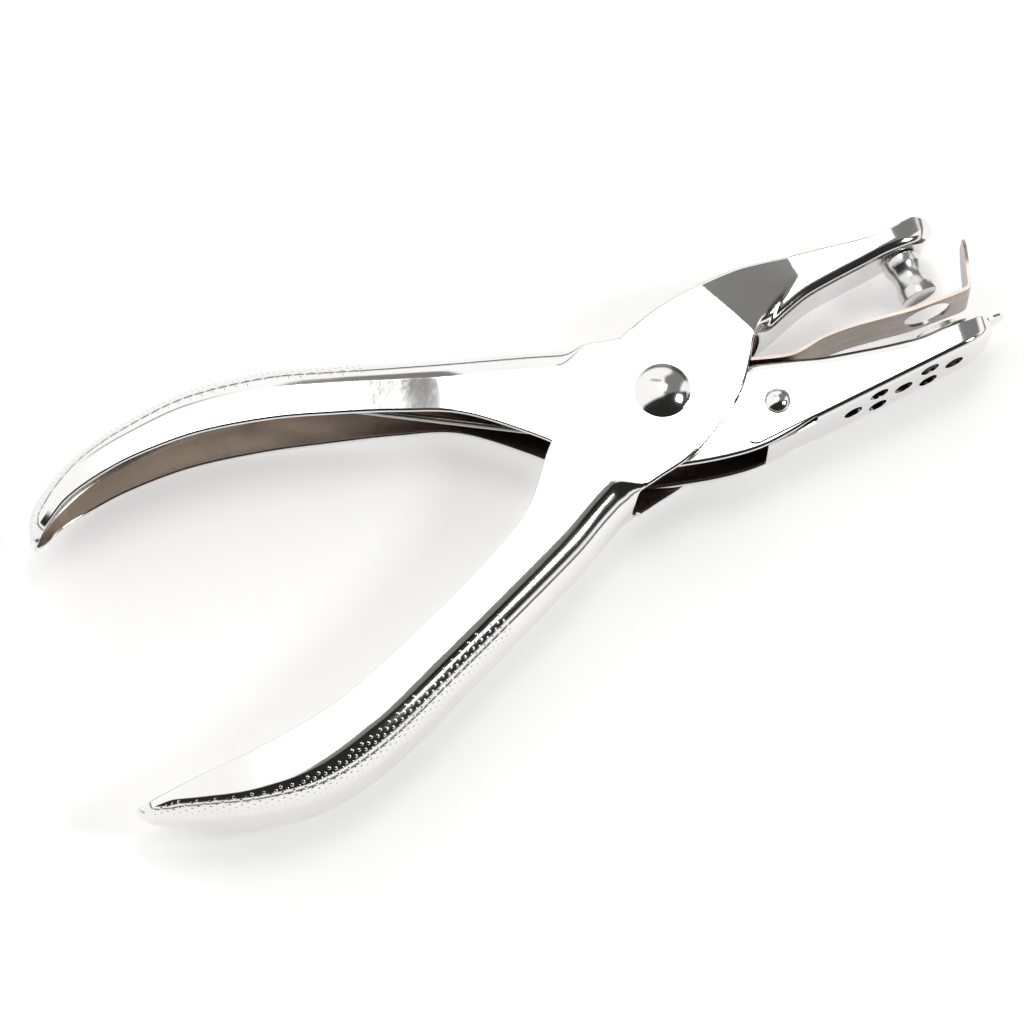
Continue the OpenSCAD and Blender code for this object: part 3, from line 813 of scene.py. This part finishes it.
# across runs to the right of the photograph's view, ahead to its top, nearer towards -Y
across, ahead = along((0.879, -0.474, 0.047)), along((0.435, 0.838, 0.331))
nearer, height = along((-0.1, -0.995, 0)), split.outputs["Z"]
# The plates reflect the sky where across is 0.09 and ahead 0.62. Around that lie a dark zone on
# the near side, a grey card to the right, and a thin grey line above and to the left.
near_dark = times(step_node(nearer, 0.04, 0.16, 0, 1), step_node(height, 0.22, 0.42, 0, 1))
grey_card = times(times(step_node(across, 0.13, 0.19, 0, 1), step_node(across, 0.72, 0.8, 1, 0)),
                  times(step_node(ahead, 0.22, 0.30, 0, 1), step_node(ahead, 0.90, 0.97, 1, 0)))
thin_line = times(times(step_node(ahead, 0.79, 0.82, 0, 1), step_node(ahead, 0.85, 0.88, 1, 0)),
                  times(step_node(across, -0.02, 0.06, 1, 0), step_node(height, 0.6, 0.7, 0, 1)))
# The sky is dark below the horizon and bright above it; each zone keeps a share of that
level = step_node(height, 0.05, 0.22, 0.06, 1.12)
for mask, kept in ((near_dark, 0.02), (grey_card, 0.2), (thin_line, 0.3)):
    level = times(level, step_node(mask, 0, 1, 1.0, kept))
tree.links.new(level, tree.nodes["Background"].inputs["Strength"])
tree.nodes["Background"].inputs["Color"].default_value = (1.0, 0.995, 0.985, 1)


def area(name, place, size, power, target=(0, 0, 0)):
    """Rectangular lamp aimed at a point."""
    data = bpy.data.lights.new(name, "AREA")
    data.shape, data.size, data.size_y, data.energy = "RECTANGLE", size[0], size[1], power
    lamp = bpy.data.objects.new(name, data)
    lamp.location = place
    lamp.rotation_euler = (Vector(place) - Vector(target)).to_track_quat("Z", "Y").to_euler()
    bpy.context.scene.collection.objects.link(lamp)


area("key", (0.27, 0.37, 1.3), (0.42, 0.4), 2.2)
area("fill", (0.7, -0.5, 0.8), (0.3, 0.3), 3.2)

# The photograph's view: its right and up directions, and a lens so long that lines that are
# parallel on the tool stay nearly parallel. LENS would frame the tool from LENS_AT metres.
RIGHT = Vector((0.8791, -0.4742, 0.0465))
UP = Vector((0.4346, 0.838, 0.3306))
LENS, LENS_AT = 182.8, 0.8
BACK = RIGHT.cross(UP).normalized()
target = Vector((0, 0, MID_Z * MM)) - RIGHT * 0.02277 - UP * 0.01643
DISTANCE = 4.0
camera_data = bpy.data.cameras.new("camera")
camera_data.lens, camera_data.sensor_width = LENS * DISTANCE / LENS_AT, 36.0
camera_data.clip_start, camera_data.clip_end = 0.01, 20
camera = bpy.data.objects.new("camera", camera_data)
turned_to = Matrix((RIGHT, BACK.cross(RIGHT), BACK)).transposed().to_4x4()
camera.matrix_world = Matrix.Translation(target + BACK * DISTANCE) @ turned_to
bpy.context.scene.collection.objects.link(camera)
bpy.context.scene.camera = camera
bpy.context.scene.view_settings.view_transform = "Standard"
